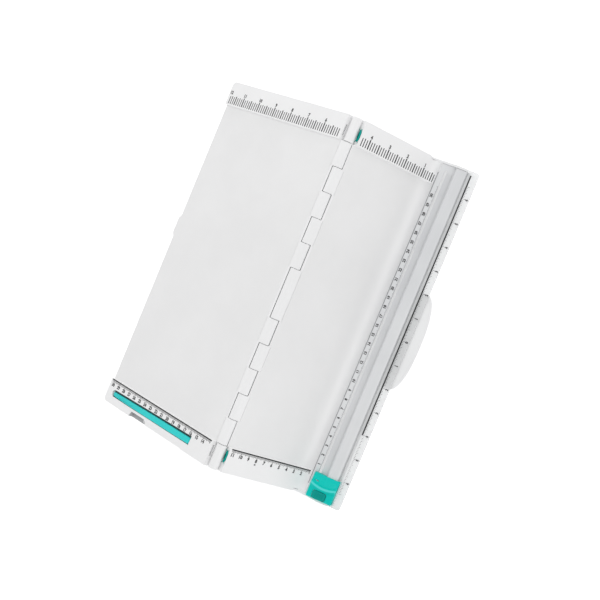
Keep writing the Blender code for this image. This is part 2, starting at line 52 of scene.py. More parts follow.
# every piece is drawn in millimetres in the frame of its board or of the arm, then put in place
def localFrame(origin, up):
    along = alongHinge.cross(up)
    turn = Matrix((along, alongHinge, up)).transposed().to_4x4()
    return Matrix.Translation(origin) @ turn @ Matrix.Scale(mm, 4)


hinge = Vector(joints["board_fold"]["pos_m"])
rightBoard = localFrame(hinge, Vector(joints["top_button_press"]["axis"]).cross(alongHinge))
leftBoard = localFrame(hinge, Vector(joints["folder_lift"]["axis"]))
arm = localFrame(Vector(joints["arm_lift"]["pos_m"]), -Vector(joints["blade_press_down"]["axis"]))


# camera, floor and lights
viewLook = {"stand": (0.1799, 0.0413, 1.3117), "aim": (0.0165, -0.0016, 0.06), "roll": -82.0,
            "lens": 76.27}


def makeCamera():
    data = bpy.data.cameras.new("trimmerView")
    data.lens = viewLook["lens"]
    camera = bpy.data.objects.new("trimmerView", data)
    scene.collection.objects.link(camera)
    gaze = Vector(viewLook["aim"]) - Vector(viewLook["stand"])
    camera.location = viewLook["stand"]
    camera.rotation_mode = "QUATERNION"
    roll = Quaternion((0, 0, 1), math.radians(viewLook["roll"]))
    camera.rotation_quaternion = gaze.to_track_quat("-Z", "Y") @ roll
    scene.camera = camera


studioLook = {"floorSize": 4.0, "floorTone": 0.92, "floorGlow": 0.45, "skyGlow": 0.68}

# softbox: place, size, power
softboxes = {
    "keySoftbox": ((-0.9, 0.7, 1.7), 1.0, 6.0),
    "fillSoftbox": ((1.2, -0.6, 1.5), 1.4, 4.5),
    "rimSoftbox": ((0.2, 1.8, 0.9), 0.8, 2.5),
}


def makeFloor():
    bm = bmesh.new()
    bmesh.ops.create_grid(bm, x_segments=1, y_segments=1, size=studioLook["floorSize"])
    mesh = bpy.data.meshes.new("floor")
    bm.to_mesh(mesh)
    bm.free()
    floor = bpy.data.objects.new("floor", mesh)
    scene.collection.objects.link(floor)
    paper = bpy.data.materials.new("floorPaper")
    paper.use_nodes = True
    shader = paper.node_tree.nodes["Principled BSDF"]
    shader.inputs["Base Color"].default_value = (*[studioLook["floorTone"]] * 3, 1)
    shader.inputs["Roughness"].default_value = 0.9
    shader.inputs["Emission Color"].default_value = (1, 1, 1, 1)
    shader.inputs["Emission Strength"].default_value = studioLook["floorGlow"]
    mesh.materials.append(paper)


def addSoftbox(name):
    place, size, power = softboxes[name]
    data = bpy.data.lights.new(name, "AREA")
    data.shape = "SQUARE"
    data.size = size
    data.energy = power
    lamp = bpy.data.objects.new(name, data)
    scene.collection.objects.link(lamp)
    lamp.location = place
    lamp.rotation_mode = "QUATERNION"
    lamp.rotation_quaternion = (-Vector(place)).to_track_quat("-Z", "Y")


def makeStudio():
    makeFloor()
    world = bpy.data.worlds.new("paleRoom")
    world.use_nodes = True
    sky = world.node_tree.nodes["Background"]
    sky.inputs["Color"].default_value = (1, 1, 1, 1)
    sky.inputs["Strength"].default_value = studioLook["skyGlow"]
    scene.world = world
    scene.view_settings.view_transform = "Standard"
    for name in softboxes:
        addSoftbox(name)


makeCamera()
makeStudio()
print("camera, floor and lights are up")


# plastics, steel, rubber and ink
def startMaterial(name, colour, roughness):
    material = bpy.data.materials.new(name)
    material.use_nodes = True
    shader = material.node_tree.nodes["Principled BSDF"]
    shader.inputs["Base Color"].default_value = (*colour, 1)
    shader.inputs["Roughness"].default_value = roughness
    return material, shader


def addNoise(material, scale, stretch=(1, 1, 1), detail=3.0, rough=0.55):
    nodes, links = material.node_tree.nodes, material.node_tree.links
    place = nodes.new("ShaderNodeTexCoord")
    mapping = nodes.new("ShaderNodeMapping")
    mapping.inputs["Scale"].default_value = stretch
    grain = nodes.new("ShaderNodeTexNoise")
    grain.inputs["Scale"].default_value = scale
    grain.inputs["Detail"].default_value = detail
    grain.inputs["Roughness"].default_value = rough
    links.new(place.outputs["Object"], mapping.inputs["Vector"])
    links.new(mapping.outputs["Vector"], grain.inputs["Vector"])
    return grain.outputs["Fac"]


def tintByNoise(material, shader, noiseOut, low, high, start=0.35, end=0.65):
    nodes, links = material.node_tree.nodes, material.node_tree.links
    ramp = nodes.new("ShaderNodeValToRGB")
    ramp.color_ramp.elements[0].position = start
    ramp.color_ramp.elements[0].color = (*low, 1)
    ramp.color_ramp.elements[1].position = end
    ramp.color_ramp.elements[1].color = (*high, 1)
    links.new(noiseOut, ramp.inputs["Fac"])
    links.new(ramp.outputs["Color"], shader.inputs["Base Color"])


def roughenByNoise(material, shader, noiseOut, low, high):
    nodes, links = material.node_tree.nodes, material.node_tree.links
    spread = nodes.new("ShaderNodeMapRange")
    spread.inputs["From Min"].default_value = 0.3
    spread.inputs["From Max"].default_value = 0.7
    spread.inputs["To Min"].default_value = low
    spread.inputs["To Max"].default_value = high
    links.new(noiseOut, spread.inputs["Value"])
    links.new(spread.outputs["Result"], shader.inputs["Roughness"])


def bumpByNoise(material, shader, noiseOut, depth, strength):
    nodes, links = material.node_tree.nodes, material.node_tree.links
    bump = nodes.new("ShaderNodeBump")
    bump.inputs["Distance"].default_value = depth
    bump.inputs["Strength"].default_value = strength
    links.new(noiseOut, bump.inputs["Height"])
    links.new(bump.outputs["Normal"], shader.inputs["Normal"])


# colour pair, roughness pair, grain size and depth, and how far the grain is drawn out along the hinge
plasticLooks = {
    "boardPlastic": {"pale": (0.94, 0.94, 0.945), "deep": (0.91, 0.91, 0.915), "rough": (0.40, 0.52),
                     "grain": 2600, "depth": 0.00004, "draw": 1.0},
    "workSurface": {"pale": (0.89, 0.89, 0.892), "deep": (0.86, 0.86, 0.862), "rough": (0.5, 0.62),
                    "grain": 1300, "depth": 0.00008, "draw": 1.0},
    "coverPlastic": {"pale": (0.66, 0.67, 0.68), "deep": (0.60, 0.61, 0.62), "rough": (0.5, 0.66),
                     "grain": 1500, "depth": 0.00007, "draw": 1.0},
    "stripPlastic": {"pale": (0.50, 0.51, 0.52), "deep": (0.40, 0.41, 0.42), "rough": (0.45, 0.62),
                     "grain": 2400, "depth": 0.00006, "draw": 0.03},
    "railPlastic": {"pale": (0.78, 0.79, 0.80), "deep": (0.72, 0.73, 0.745), "rough": (0.22, 0.34),
                    "grain": 3000, "depth": 0.00003, "draw": 0.015},
    "tabPlastic": {"pale": (0.91, 0.915, 0.92), "deep": (0.87, 0.875, 0.88), "rough": (0.33, 0.46),
                   "grain": 2200, "depth": 0.00004, "draw": 1.0},
    "tealPlastic": {"pale": (0.0, 0.64, 0.56), "deep": (0.0, 0.55, 0.49), "rough": (0.22, 0.34),
                    "grain": 1800, "depth": 0.00003, "draw": 1.0, "shine": 0.15},
    "deepTealPlastic": {"pale": (0.0, 0.38, 0.33), "deep": (0.0, 0.32, 0.28), "rough": (0.3, 0.44),
                        "grain": 1800, "depth": 0.00004, "draw": 1.0, "shine": 0.15},
    # painted highlight: a lighter teal for the crest of the carriage ridge
    "crestPaintedHighlight": {"pale": (0.09, 0.76, 0.72), "deep": (0.06, 0.70, 0.66), "rough": (0.2, 0.3),
                     "grain": 1800, "depth": 0.00003, "draw": 1.0},
    # painted shade: the folder pocket is coloured near black to stand in for the shadow inside it
    "pocketPaintedShade": {"pale": (0.03, 0.10, 0.10), "deep": (0.02, 0.07, 0.07), "rough": (0.4, 0.55),
                      "grain": 1500, "depth": 0.00005, "draw": 1.0},
    # painted shade: the finger notch is coloured grey to stand in for the shade in it
    "notchPaintedShade": {"pale": (0.44, 0.45, 0.46), "deep": (0.38, 0.39, 0.40), "rough": (0.4, 0.55),
                     "grain": 1500, "depth": 0.00005, "draw": 1.0},
    "folderPlastic": {"pale": (0.04, 0.72, 0.70), "deep": (0.02, 0.64, 0.63), "rough": (0.24, 0.38),
                      "grain": 1600, "depth": 0.00003, "draw": 0.2, "shine": 0.2},
}


def mouldedPlastic(name):
    look = plasticLooks[name]
    material, shader = startMaterial(name, look["pale"], look["rough"][0])
    cloud = addNoise(material, 14.0, detail=4.0)
    tintByNoise(material, shader, cloud, look["deep"], look["pale"])
    handling = addNoise(material, 90.0, stretch=(1, look["draw"], 1), detail=5.0)
    roughenByNoise(material, shader, handling, *look["rough"])
    grain = addNoise(material, look["grain"], stretch=(1, look["draw"], 1), detail=2.0)
    bumpByNoise(material, shader, grain, look["depth"], 0.5)
    shader.inputs["IOR"].default_value = 1.5
    shader.inputs["Specular IOR Level"].default_value = look.get("shine", 0.5)
    return material


clearLooks = {
    "clearPlastic": {"tint": (0.90, 0.91, 0.915), "rough": (0.05, 0.12), "cover": 0.55},
    "cyanClearPlastic": {"tint": (0.72, 0.96, 0.96), "rough": (0.06, 0.14), "cover": 0.7},
}


def clearPlastic(name):
    look = clearLooks[name]
    material, shader = startMaterial(name, look["tint"], look["rough"][0])
    shader.inputs["Alpha"].default_value = look["cover"]
    shader.inputs["IOR"].default_value = 1.49
    wear = addNoise(material, 500.0, stretch=(1, 0.08, 1), detail=6.0)
    roughenByNoise(material, shader, wear, *look["rough"])
    ripple = addNoise(material, 160.0, stretch=(1, 0.2, 1))
    bumpByNoise(material, shader, ripple, 0.00003, 0.3)
    haze = addNoise(material, 60.0, detail=5.0)
    pale = look["tint"]
    tintByNoise(material, shader, haze, tuple(c * 0.96 for c in pale), pale)
    return material


def brightSteel(name, stretch, rough):
    material, shader = startMaterial(name, (0.62, 0.62, 0.64), rough)
    shader.inputs["Metallic"].default_value = 1.0
    drawn = addNoise(material, 4000.0, stretch=stretch, detail=4.0)
    roughenByNoise(material, shader, drawn, rough * 0.7, rough * 1.4)
    tintByNoise(material, shader, drawn, (0.52, 0.52, 0.54), (0.70, 0.70, 0.72))
    bumpByNoise(material, shader, drawn, 0.00001, 0.4)
    return material


def footRubber():
    material, shader = startMaterial("footRubber", (0.05, 0.05, 0.05), 0.8)
    dust = addNoise(material, 240.0, detail=8.0)
    tintByNoise(material, shader, dust, (0.035, 0.035, 0.036), (0.09, 0.088, 0.085))
    roughenByNoise(material, shader, dust, 0.65, 0.9)
    bumpByNoise(material, shader, addNoise(material, 3000.0), 0.00008, 0.6)
    return material


def rulerInk(name, dark, worn):
    material, shader = startMaterial(name, dark, 0.5)
    tintByNoise(material, shader, addNoise(material, 900.0, detail=6.0), dark, worn, 0.45, 0.8)
    roughenByNoise(material, shader, addNoise(material, 300.0), 0.42, 0.6)
    return material


finishes = {name: mouldedPlastic(name) for name in plasticLooks}
finishes.update({name: clearPlastic(name) for name in clearLooks})
finishes["drawnSteel"] = brightSteel("drawnSteel", (1, 0.02, 1), 0.28)
finishes["bladeSteel"] = brightSteel("bladeSteel", (0.05, 1, 1), 0.16)
finishes["footRubber"] = footRubber()
finishes["greyInk"] = rulerInk("greyInk", (0.015, 0.015, 0.016), (0.045, 0.045, 0.047))
finishes["blackInk"] = rulerInk("blackInk", (0.012, 0.012, 0.013), (0.04, 0.04, 0.042))
print("finishes mixed:", len(finishes))


# mesh helpers
def bmOutline(points, offset):
    # the flat outline pushed along offset
    bm = bmesh.new()
    face = bm.faces.new([bm.verts.new(p) for p in points])
    pushed = bmesh.ops.extrude_face_region(bm, geom=[face])
    moved = [v for v in pushed["geom"] if isinstance(v, bmesh.types.BMVert)]
    bmesh.ops.translate(bm, vec=offset, verts=moved)
    bmesh.ops.recalc_face_normals(bm, faces=bm.faces)
    return bm


def bmBlock(x0, x1, y0, y1, z0, z1):
    bm = bmesh.new()
    addBar(bm, x0, x1, y0, y1, z0, z1)
    return bm


def addBar(bm, x0, x1, y0, y1, z0, z1):
    middle = Vector(((x0 + x1) / 2, (y0 + y1) / 2, (z0 + z1) / 2))
    size = Matrix.Diagonal((abs(x1 - x0), abs(y1 - y0), abs(z1 - z0), 1))
    return bmesh.ops.create_cube(bm, size=1.0, matrix=Matrix.Translation(middle) @ size)


def bmTurned(profile, steps):
    # (radius, height) pairs spun about z
    bm = bmesh.new()
    line = [bm.verts.new((r, 0, z)) for r, z in profile]
    edges = [bm.edges.new(pair) for pair in zip(line, line[1:])]
    bmesh.ops.spin(bm, geom=line + edges, cent=(0, 0, 0), axis=(0, 0, 1), angle=2 * math.pi,
                   steps=steps, use_merge=True)
    bmesh.ops.remove_doubles(bm, verts=bm.verts, dist=0.0005)
    bmesh.ops.recalc_face_normals(bm, faces=bm.faces)
    return bm


def easeEdges(bm, width, segments=2, angle=30.0, shortest=0.0, keep=None):
    picked = []
    for edge in bm.edges:
        if len(edge.link_faces) != 2 or edge.calc_length() < shortest:
            continue
        if edge.calc_face_angle(0.0) > math.radians(angle) and (keep is None or keep(edge)):
            picked.append(edge)
    bmesh.ops.bevel(bm, geom=picked, offset=width, offset_type="OFFSET", affect="EDGES",
                    segments=segments, profile=0.5, material=-1, clamp_overlap=False)
    return bm


def arcPoints(cx, cy, radius, start, end, steps):
    angles = [math.radians(start + (end - start) * i / steps) for i in range(steps + 1)]
    return [(cx + radius * math.cos(a), cy + radius * math.sin(a)) for a in angles]


def roundedBox(x0, x1, y0, y1, radius, steps=5):
    return (arcPoints(x1 - radius, y1 - radius, radius, 0, 90, steps)
            + arcPoints(x0 + radius, y1 - radius, radius, 90, 180, steps)
            + arcPoints(x0 + radius, y0 + radius, radius, 180, 270, steps)
            + arcPoints(x1 - radius, y0 + radius, radius, 270, 360, steps))


def finishPiece(name, bm, body, finish, place=None, stands=(), smoothAngle=40.0):
    if place is not None:
        bmesh.ops.transform(bm, matrix=place, verts=bm.verts)
    mesh = bpy.data.meshes.new(name)
    bm.to_mesh(mesh)
    bm.free()
    mesh.materials.append(finishes[finish])
    mesh.shade_smooth()
    mesh.set_sharp_from_angle(angle=math.radians(smoothAngle))
    piece = bpy.data.objects.new(name, mesh)
    scene.collection.objects.link(piece)
    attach(piece, body)
    if stands:
        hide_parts(*stands)
    even = piece.modifiers.new("evenNormals", "WEIGHTED_NORMAL")
    even.keep_sharp = True
    return piece


def carve(bm, cutters):
    # takes every cutter out of the shape with an exact boolean
    def helper(source):
        mesh = bpy.data.meshes.new("carving")
        source.to_mesh(mesh)
        source.free()
        body = bpy.data.objects.new("carving", mesh)
        scene.collection.objects.link(body)
        return body
    shape = helper(bm)
    tools = [helper(cutter) for cutter in cutters]
    for tool in tools:
        step = shape.modifiers.new("cut", "BOOLEAN")
        step.operation = "DIFFERENCE"
        step.solver = "EXACT"
        step.object = tool
    graph = bpy.context.evaluated_depsgraph_get()
    result = bpy.data.meshes.new_from_object(shape.evaluated_get(graph))
    carved = bmesh.new()
    carved.from_mesh(result)
    for item in [shape] + tools:
        bpy.data.objects.remove(item, do_unlink=True)
    bpy.data.meshes.remove(result)
    return carved


def joinShape(bm, other):
    shape = bpy.data.meshes.new("joined")
    other.to_mesh(shape)
    other.free()
    bm.from_mesh(shape)
    bpy.data.meshes.remove(shape)


def mergedCopy(node):
    bm = bmesh.new()
    bm.from_mesh(frame["nodes"][node].data)
    bmesh.ops.remove_doubles(bm, verts=bm.verts, dist=0.002 * mm)
    bmesh.ops.dissolve_limit(bm, angle_limit=math.radians(0.5), verts=bm.verts, edges=bm.edges)
    return bm


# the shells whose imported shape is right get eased, moulded edges
# piece: node, body, slot, finish, edge width, shortest edge that is eased
easedShells = {
    "leftBoardShell": ("left_board", "left_leaf", "board_white", "boardPlastic", 0.4, 1.2),
    "rightBoardShell": ("right_board", "base", "board_white", "boardPlastic", 0.4, 1.2),
    "slottedRail": ("arm_rail", "arm", "rail_white", "railPlastic", 0.3, 0.7),
    "railCapTop": ("arm_end_cap_top", "arm", "tab_grey", "tabPlastic", 0.3, 1.5),
    "railCapBottom": ("arm_end_cap_bottom", "arm", "tab_grey", "tabPlastic", 0.3, 1.5),
    "sideGuardLeft": ("carriage_guard_left", "carriage", "clear_cyan", "cyanClearPlastic", 0.2, 0.0),
    "sideGuardRight": ("carriage_guard_right", "carriage", "clear_cyan", "cyanClearPlastic", 0.2, 0.0),
    "slidingShoe": ("carriage_shoe", "carriage", "cover_grey", "coverPlastic", 0.2, 0.0),
    "bladeFork": ("blade_holder", "blade_press", "cover_grey", "coverPlastic", 0.2, 1.0),
    "clearWing": ("clear_ruler", "arm", "clear", "clearPlastic", 0.35, 0.0),
    "matStrip": ("cutting_strip", "base", "strip_grey", "stripPlastic", 0.15, 0.0),
}


shellEdges = {"segments": 2, "angle": 35.0}
creaseLook = {"knuckles": "LRLRLRRLRLRL", "reach": 155.7, "from": 5.1, "to": 5.5, "depth": 0.7, "top": 4.5,
              "jointGap": 0.25}
railGrooves = {"places": (19.9, 21.4, 22.9, 24.4), "width": 0.4, "top": 2.3, "depth": 0.4, "half": 170.0}


def knuckleCreases(side, place):
    # a fine groove where each of the board's own knuckles runs into its face
    look = creaseLook
    unit = 2 * look["reach"] / len(look["knuckles"])
    sign = 1 if side == "R" else -1
    cutters = []
    for number, owner in enumerate(look["knuckles"]):
        if owner != side:
            continue
        far = look["reach"] - number * unit
        x0, x1 = sorted((sign * look["from"], sign * look["to"]))
        floor = look["top"] - look["depth"]
        gap = look["jointGap"]
        groove = bmBlock(x0, x1, far - unit + gap, far - gap, floor, look["top"] + 1)
        bmesh.ops.transform(groove, matrix=place, verts=groove.verts)
        cutters.append(groove)
    return cutters


def trackGrooves():
    # fine lines along the extrusion between the blade slot and the track
    look = railGrooves
    cutters = []
    for x in look["places"]:
        half = look["width"] / 2
        groove = bmBlock(x - half, x + half, -look["half"], look["half"], look["top"] - look["depth"],
                         look["top"] + 0.6)
        bmesh.ops.transform(groove, matrix=arm, verts=groove.verts)
        cutters.append(groove)
    return cutters


def paintFaces(piece, place, finish, chosen):
    # chosen sees each face's middle and direction in the board's own frame
    piece.data.materials.append(finishes[finish])
    index = len(piece.data.materials) - 1
    back = place.inverted()
    for face in piece.data.polygons:
        if chosen(back @ face.center, (back.to_3x3() @ face.normal).normalized()):
            face.material_index = index


def isWorkSurface(middle, normal):
    # the face between the lips is a little greyer and coarser than the rest of the shell
    look = creaseLook
    onTop = abs(middle.z - look["top"]) < 0.02 and abs(middle.y) < look["reach"]
    return onTop and abs(middle.x) > look["to"] + 1 and normal.z > 0.99


# darker finishes that stand in for shade in the left board's near lip: x range, y range, z range
pocketLook = {"pocketPaintedShade": ((-175.0, -35.0), (-174.5, -163.5), (4.55, 7.2)),
              "notchPaintedShade": ((-142.0, -108.0), (-181.9, -174.5), (1.8, 7.2))}


def shadePocket(piece):
    for finish, spans in pocketLook.items():
        paintFaces(piece, leftBoard, finish, lambda middle, normal: all(
            low < value < high for value, (low, high) in zip(middle, spans)))


boardKnuckles = {"left_board": ("L", leftBoard), "right_board": ("R", rightBoard)}


def easeShell(name):
    node, body, slot, finish, width, shortest = easedShells[name]
    bm = mergedCopy(node)
    easeEdges(bm, width * mm, shellEdges["segments"], shellEdges["angle"], shortest * mm)
    if node in boardKnuckles:
        side, place = boardKnuckles[node]
        bm = carve(bm, knuckleCreases(side, place))
    elif node == "arm_rail":
        bm = carve(bm, trackGrooves())
    piece = finishPiece(name, bm, body, finish, stands=[node])
    if node in boardKnuckles:
        paintFaces(piece, place, "workSurface", isWorkSurface)
    if node == "left_board":
        shadePocket(piece)
    return piece


for shellName in easedShells:
    easeShell(shellName)
print("eased shells:", len(easedShells))

plainNodes = {"drawnSteel": ["hinge_pin", "arm_pin_top", "arm_pin_bottom", "lock_spring_top",
                             "lock_spring_bottom", "press_spring", "blade_axle"]}
for finish, names in plainNodes.items():
    for name in names:
        data = frame["nodes"][name].data
        data.materials.clear()
        data.materials.append(finishes[finish])


# boards: ribbed under covers, end caps and lock ovals
coverLook = {"left": (-183.2, -10.3), "right": (10.3, 155.2), "halfLength": 174.0, "corner": 3.0,
             "low": 0.2, "high": 1.2, "across": 4, "along": 9, "rib": 1.6, "sink": 0.45}


def ribbedCover(name, node, side, body, place):
    look = coverLook
    x0, x1 = look[side]
    plan = roundedBox(x0, x1, -look["halfLength"], look["halfLength"], look["corner"])
    bm = bmOutline([(x, y, look["high"]) for x, y in plan], (0, 0, look["low"] - look["high"]))
    cuts = [((x0 + (x1 - x0) * i / look["across"], 0, 0), (1, 0, 0)) for i in range(1, look["across"])]
    cuts += [((0, look["halfLength"] * (2 * i / look["along"] - 1), 0), (0, 1, 0))
             for i in range(1, look["along"])]
    for point, normal in cuts:
        everything = bm.verts[:] + bm.edges[:] + bm.faces[:]
        bmesh.ops.bisect_plane(bm, geom=everything, plane_co=point, plane_no=normal)
    under = [f for f in bm.faces if f.normal.z < -0.9]
    bmesh.ops.inset_individual(bm, faces=under, thickness=look["rib"] / 2, depth=0)
    bmesh.ops.inset_individual(bm, faces=under, thickness=0.4, depth=-look["sink"])
    return finishPiece(name, bm, body, "coverPlastic", place, [node], 20.0)


ribbedCover("rightRibbedCover", "right_under_cover", "right", "base", rightBoard)
ribbedCover("leftRibbedCover", "left_under_cover", "left", "left_leaf", leftBoard)


capLook = {"radius": 5.0, "inner": 156.0, "outer": 181.0, "round": 1.4, "seam": 0.25, "steps": 64}


def hingeCap(name, node, end):
    look = capLook
    inner, outer, radius = look["inner"], look["outer"], look["radius"]
    profile = [(0.0, inner), (radius - 0.4, inner), (radius, inner + 0.4)]
    for ring in (inner + 2.2, outer - 3.4):              # two fine grooves round the barrel
        profile += [(radius, ring), (radius - look["seam"], ring + 0.25),
                    (radius - look["seam"], ring + 0.55), (radius, ring + 0.8)]
    corner = arcPoints(radius - look["round"], outer - look["round"], look["round"], 0, 90, 6)
    profile += corner
    profile += [(2.6, outer), (2.3, outer - 0.5), (0.0, outer - 0.5)]
    bm = bmTurned(profile, look["steps"])
    turn = Matrix.Rotation(math.radians(-90 if end > 0 else 90), 4, "X")
    return finishPiece(name, bm, "base", "boardPlastic", rightBoard @ turn, [node], 30.0)


hingeCap("hingeCapTop", "hinge_end_cap_top", 1)
hingeCap("hingeCapBottom", "hinge_end_cap_bottom", -1)

ovalLook = {"y": 165.4, "z": 4.6, "half": (6.0, 2.1), "from": 4.7, "to": 10.2, "crown": 0.9, "steps": 48}


def lockOval(name, node, end, body):
    look = ovalLook
    bm = bmesh.new()
    ring = bmesh.ops.create_circle(bm, cap_ends=True, segments=look["steps"], radius=1.0)["verts"]
    stretch = Matrix.Diagonal((look["half"][1], look["half"][0], 1, 1))
    bmesh.ops.transform(bm, matrix=stretch, verts=ring)
    front = bm.faces[:]
    deep = bmesh.ops.extrude_face_region(bm, geom=front)
    back = [v for v in deep["geom"] if isinstance(v, bmesh.types.BMVert)]
    length = look["to"] - look["from"] - look["crown"]
    bmesh.ops.translate(bm, vec=(0, 0, -length), verts=back)
    bmesh.ops.recalc_face_normals(bm, faces=bm.faces)
    dome = [f for f in bm.faces if f.normal.z > 0.9]
    for thickness, rise in ((0.3, 0.4), (0.35, 0.25), (0.45, 0.15), (0.5, 0.07)):
        bmesh.ops.inset_region(bm, faces=dome, thickness=thickness, depth=rise, use_even_offset=True)
    turn = Matrix.Rotation(math.radians(-90), 4, "Y")     # the dome now looks towards the other board
    at = Matrix.Translation((look["from"] + look["crown"], end * look["y"], look["z"]))
    return finishPiece(name, bm, body, "deepTealPlastic", rightBoard @ at @ turn, [node], 50.0)


lockOval("lockOvalTop", "lock_button_top", 1, "top_button")
lockOval("lockOvalBottom", "lock_button_bottom", -1, "bottom_button")
print("covers, hinge caps and lock ovals done")


# feet and screws
footLook = {"radius": 6.0, "height": 1.9, "top": -0.1, "right": ((60, 143), 135), "left": ((-75, -168), 150)}


def rubberFoot(name, node, x, y, body, place):
    r, low = footLook["radius"], -footLook["height"]
    profile = [(0.0, low + 0.5), (2.4, low + 0.5), (2.8, low + 0.05), (3.2, low), (r - 0.9, low)]
    profile += arcPoints(r - 0.7, low + 0.7, 0.7, -70, 0, 4)
    profile += [(r, footLook["top"] - 0.4), (r - 0.25, footLook["top"]), (0.0, footLook["top"])]
    bm = bmTurned(profile, 48)
    return finishPiece(name, bm, body, "footRubber", place @ Matrix.Translation((x, y, 0)), [node])


screwLook = {"head": 2.0, "low": -0.7, "seat": -0.1, "shank": 1.0, "end": 3.7, "cross": (1.2, 0.35, 0.4),
             "pitch": 0.45, "thread": 0.18, "crown": 0.2}
coverScrewLook = {"nearHinge": 28.0, "fromEdge": 18.0, "y": 166.0}
capScrewLook = {"x": 31.9, "y": 179.9, "z": 2.6}


def crossScrew():
    # drawn head down along z, with a cross recess
    s = screwLook
    profile = [(0.0, s["low"]), (1.1, s["low"]), (1.6, s["low"] + 0.06), (s["head"], s["low"] + 0.34),
               (s["head"], s["seat"] - 0.05), (s["head"] - 0.1, s["seat"]), (s["shank"], s["seat"])]
    height = s["seat"] + 0.4
    while height < s["end"] - 0.5:                       # cut thread, as plain rings
        profile += [(s["shank"] - s["thread"], height), (s["shank"], height + s["crown"])]
        height += s["pitch"]
    profile += [(0.4, s["end"]), (0.0, s["end"])]
    arm1, half, deep = s["cross"]
    cutters = [bmBlock(-arm1, arm1, -half / 2, half / 2, s["low"] - 1, s["low"] + deep),
               bmBlock(-half / 2, half / 2, -arm1, arm1, s["low"] - 1, s["low"] + deep)]
    return carve(bmTurned(profile, 24), cutters)


def coverScrews(side, width, body, place):
    look = coverScrewLook
    sign = 1 if side == "right" else -1
    number = 1
    for x in (look["nearHinge"], width - look["fromEdge"]):
        for y in (-look["y"], look["y"]):
            node = side + "_cover_screw_" + str(number)
            at = place @ Matrix.Translation((sign * x, y, 0)) @ Matrix.Rotation(number * 0.7, 4, "Z")
            finishPiece(side + "CoverScrew" + str(number), crossScrew(), body, "drawnSteel",
                        at, [node])
            number += 1


# side, body, place, width
boardSides = (("right", "base", rightBoard, 158.0), ("left", "left_leaf", leftBoard, 186.0))

for side, body, place, width in boardSides:
    rows, reach = footLook[side]
    spots = [(x, y) for x in rows for y in (-reach, reach)]
    for number, (x, y) in enumerate(spots, 1):
        rubberFoot(side + "Foot" + str(number), side + "_foot_" + str(number), x, y, body, place)
    coverScrews(side, width, body, place)

for end, label in ((1, "Top"), (-1, "Bottom")):
    turn = Matrix.Rotation(math.radians(90 if end > 0 else -90), 4, "X")
    at = arm @ Matrix.Translation((capScrewLook["x"], end * capScrewLook["y"], capScrewLook["z"])) @ turn
    finishPiece("railCapScrew" + label, crossScrew(), "arm", "drawnSteel", at,
                ["arm_cap_screw_" + label.lower()])
print("feet and screws done")


# rulers: every mark is a thin bar of ink, every numeral a thin cut shape
inkLook = {"rise": 0.04, "sink": 0.03, "bold": 0.075}
digitShapes = {}


def digitShape(text, height):
    # a numeral's own mesh, centred, made once for each size
    key = (text, height)
    if key not in digitShapes:
        curve = bpy.data.curves.new("numeral", "FONT")
        curve.body = text
        curve.size = height / 0.7
        curve.align_x = "CENTER"
        curve.align_y = "CENTER"
        curve.resolution_u = 2
        curve.offset = height * inkLook["bold"]
        curve.extrude = (inkLook["rise"] + inkLook["sink"]) / 2
        letter = bpy.data.objects.new("numeral", curve)
        scene.collection.objects.link(letter)
        graph = bpy.context.evaluated_depsgraph_get()
        digitShapes[key] = bpy.data.meshes.new_from_object(letter.evaluated_get(graph))
        bpy.data.objects.remove(letter, do_unlink=True)
    return digitShapes[key]


def addNumeral(bm, text, x, y, z, height, turn=0.0):
    shape = digitShape(text, height).copy()
    middle = z + (inkLook["rise"] - inkLook["sink"]) / 2
    shape.transform(Matrix.Translation((x, y, middle)) @ Matrix.Rotation(math.radians(turn), 4, "Z"))
    bm.from_mesh(shape)
    bpy.data.meshes.remove(shape)


def addMark(bm, x0, x1, y0, y1, z):
    addBar(bm, x0, x1, y0, y1, z - inkLook["sink"], z + inkLook["rise"])


def closeShapes(bm):
    bmesh.ops.remove_doubles(bm, verts=bm.verts, dist=0.0004)
    bmesh.ops.recalc_face_normals(bm, faces=bm.faces)
    return bm


# distances run from the cut line, which lies on the right board this far from the hinge
rulerLook = {"cutLine": 120.5, "lip": 155.7, "lipTop": 7.5,
             "leftSpan": (7.5, 183.5), "rightSpan": (7.5, 111.5),
             "inchBand": 1.4, "inchTicks": {8: 9.6, 4: 9.0, 2: 8.5, 1: 8.0}, "inchWidth": 1.05,
             "inchNumeral": (13.3, 3.3), "cmLine": (0.3, 1.6), "cmTicks": {10: 2.7, 5: 2.2, 1: 1.6},
             "cmWidth": 0.4, "cmNumeral": (6.3, 3.3), "pointerAt": 80, "pointerDrop": 10.4}


def onBoard(distance):
    # place across a board, signed as the board's own frame has it
    return rulerLook["cutLine"] - distance


def tickLength(table, count):
    return next(length for step, length in table.items() if count % step == 0)


def inchRuler(side, body, place):
    look = rulerLook
    bm = bmesh.new()
    low, high = look[side + "Span"]
    start = look["lip"] + look["inchBand"]
    for count in range(0, 8 * 13):
        x = onBoard(count * inch / 8)
        reach = abs(x)
        if (x > 0) != (side == "right") or not low < reach < high:
            continue
        half = look["inchWidth"] / 2 * (1.35 if count % 4 == 0 else 1.0)
        addMark(bm, x - half, x + half, start, start + tickLength(look["inchTicks"], count), look["lipTop"])
    rise, height = look["inchNumeral"]
    for number in range(0, 13):
        x = onBoard(number * inch)
        if (x > 0) == (side == "right") and low + 2 < abs(x) < high + 1:
            x = math.copysign(min(abs(x), high - 1.6), x)
            addNumeral(bm, str(number), x, look["lip"] + rise, look["lipTop"], height)
    return finishPiece(side + "InchMarks", closeShapes(bm), body, "greyInk", place)


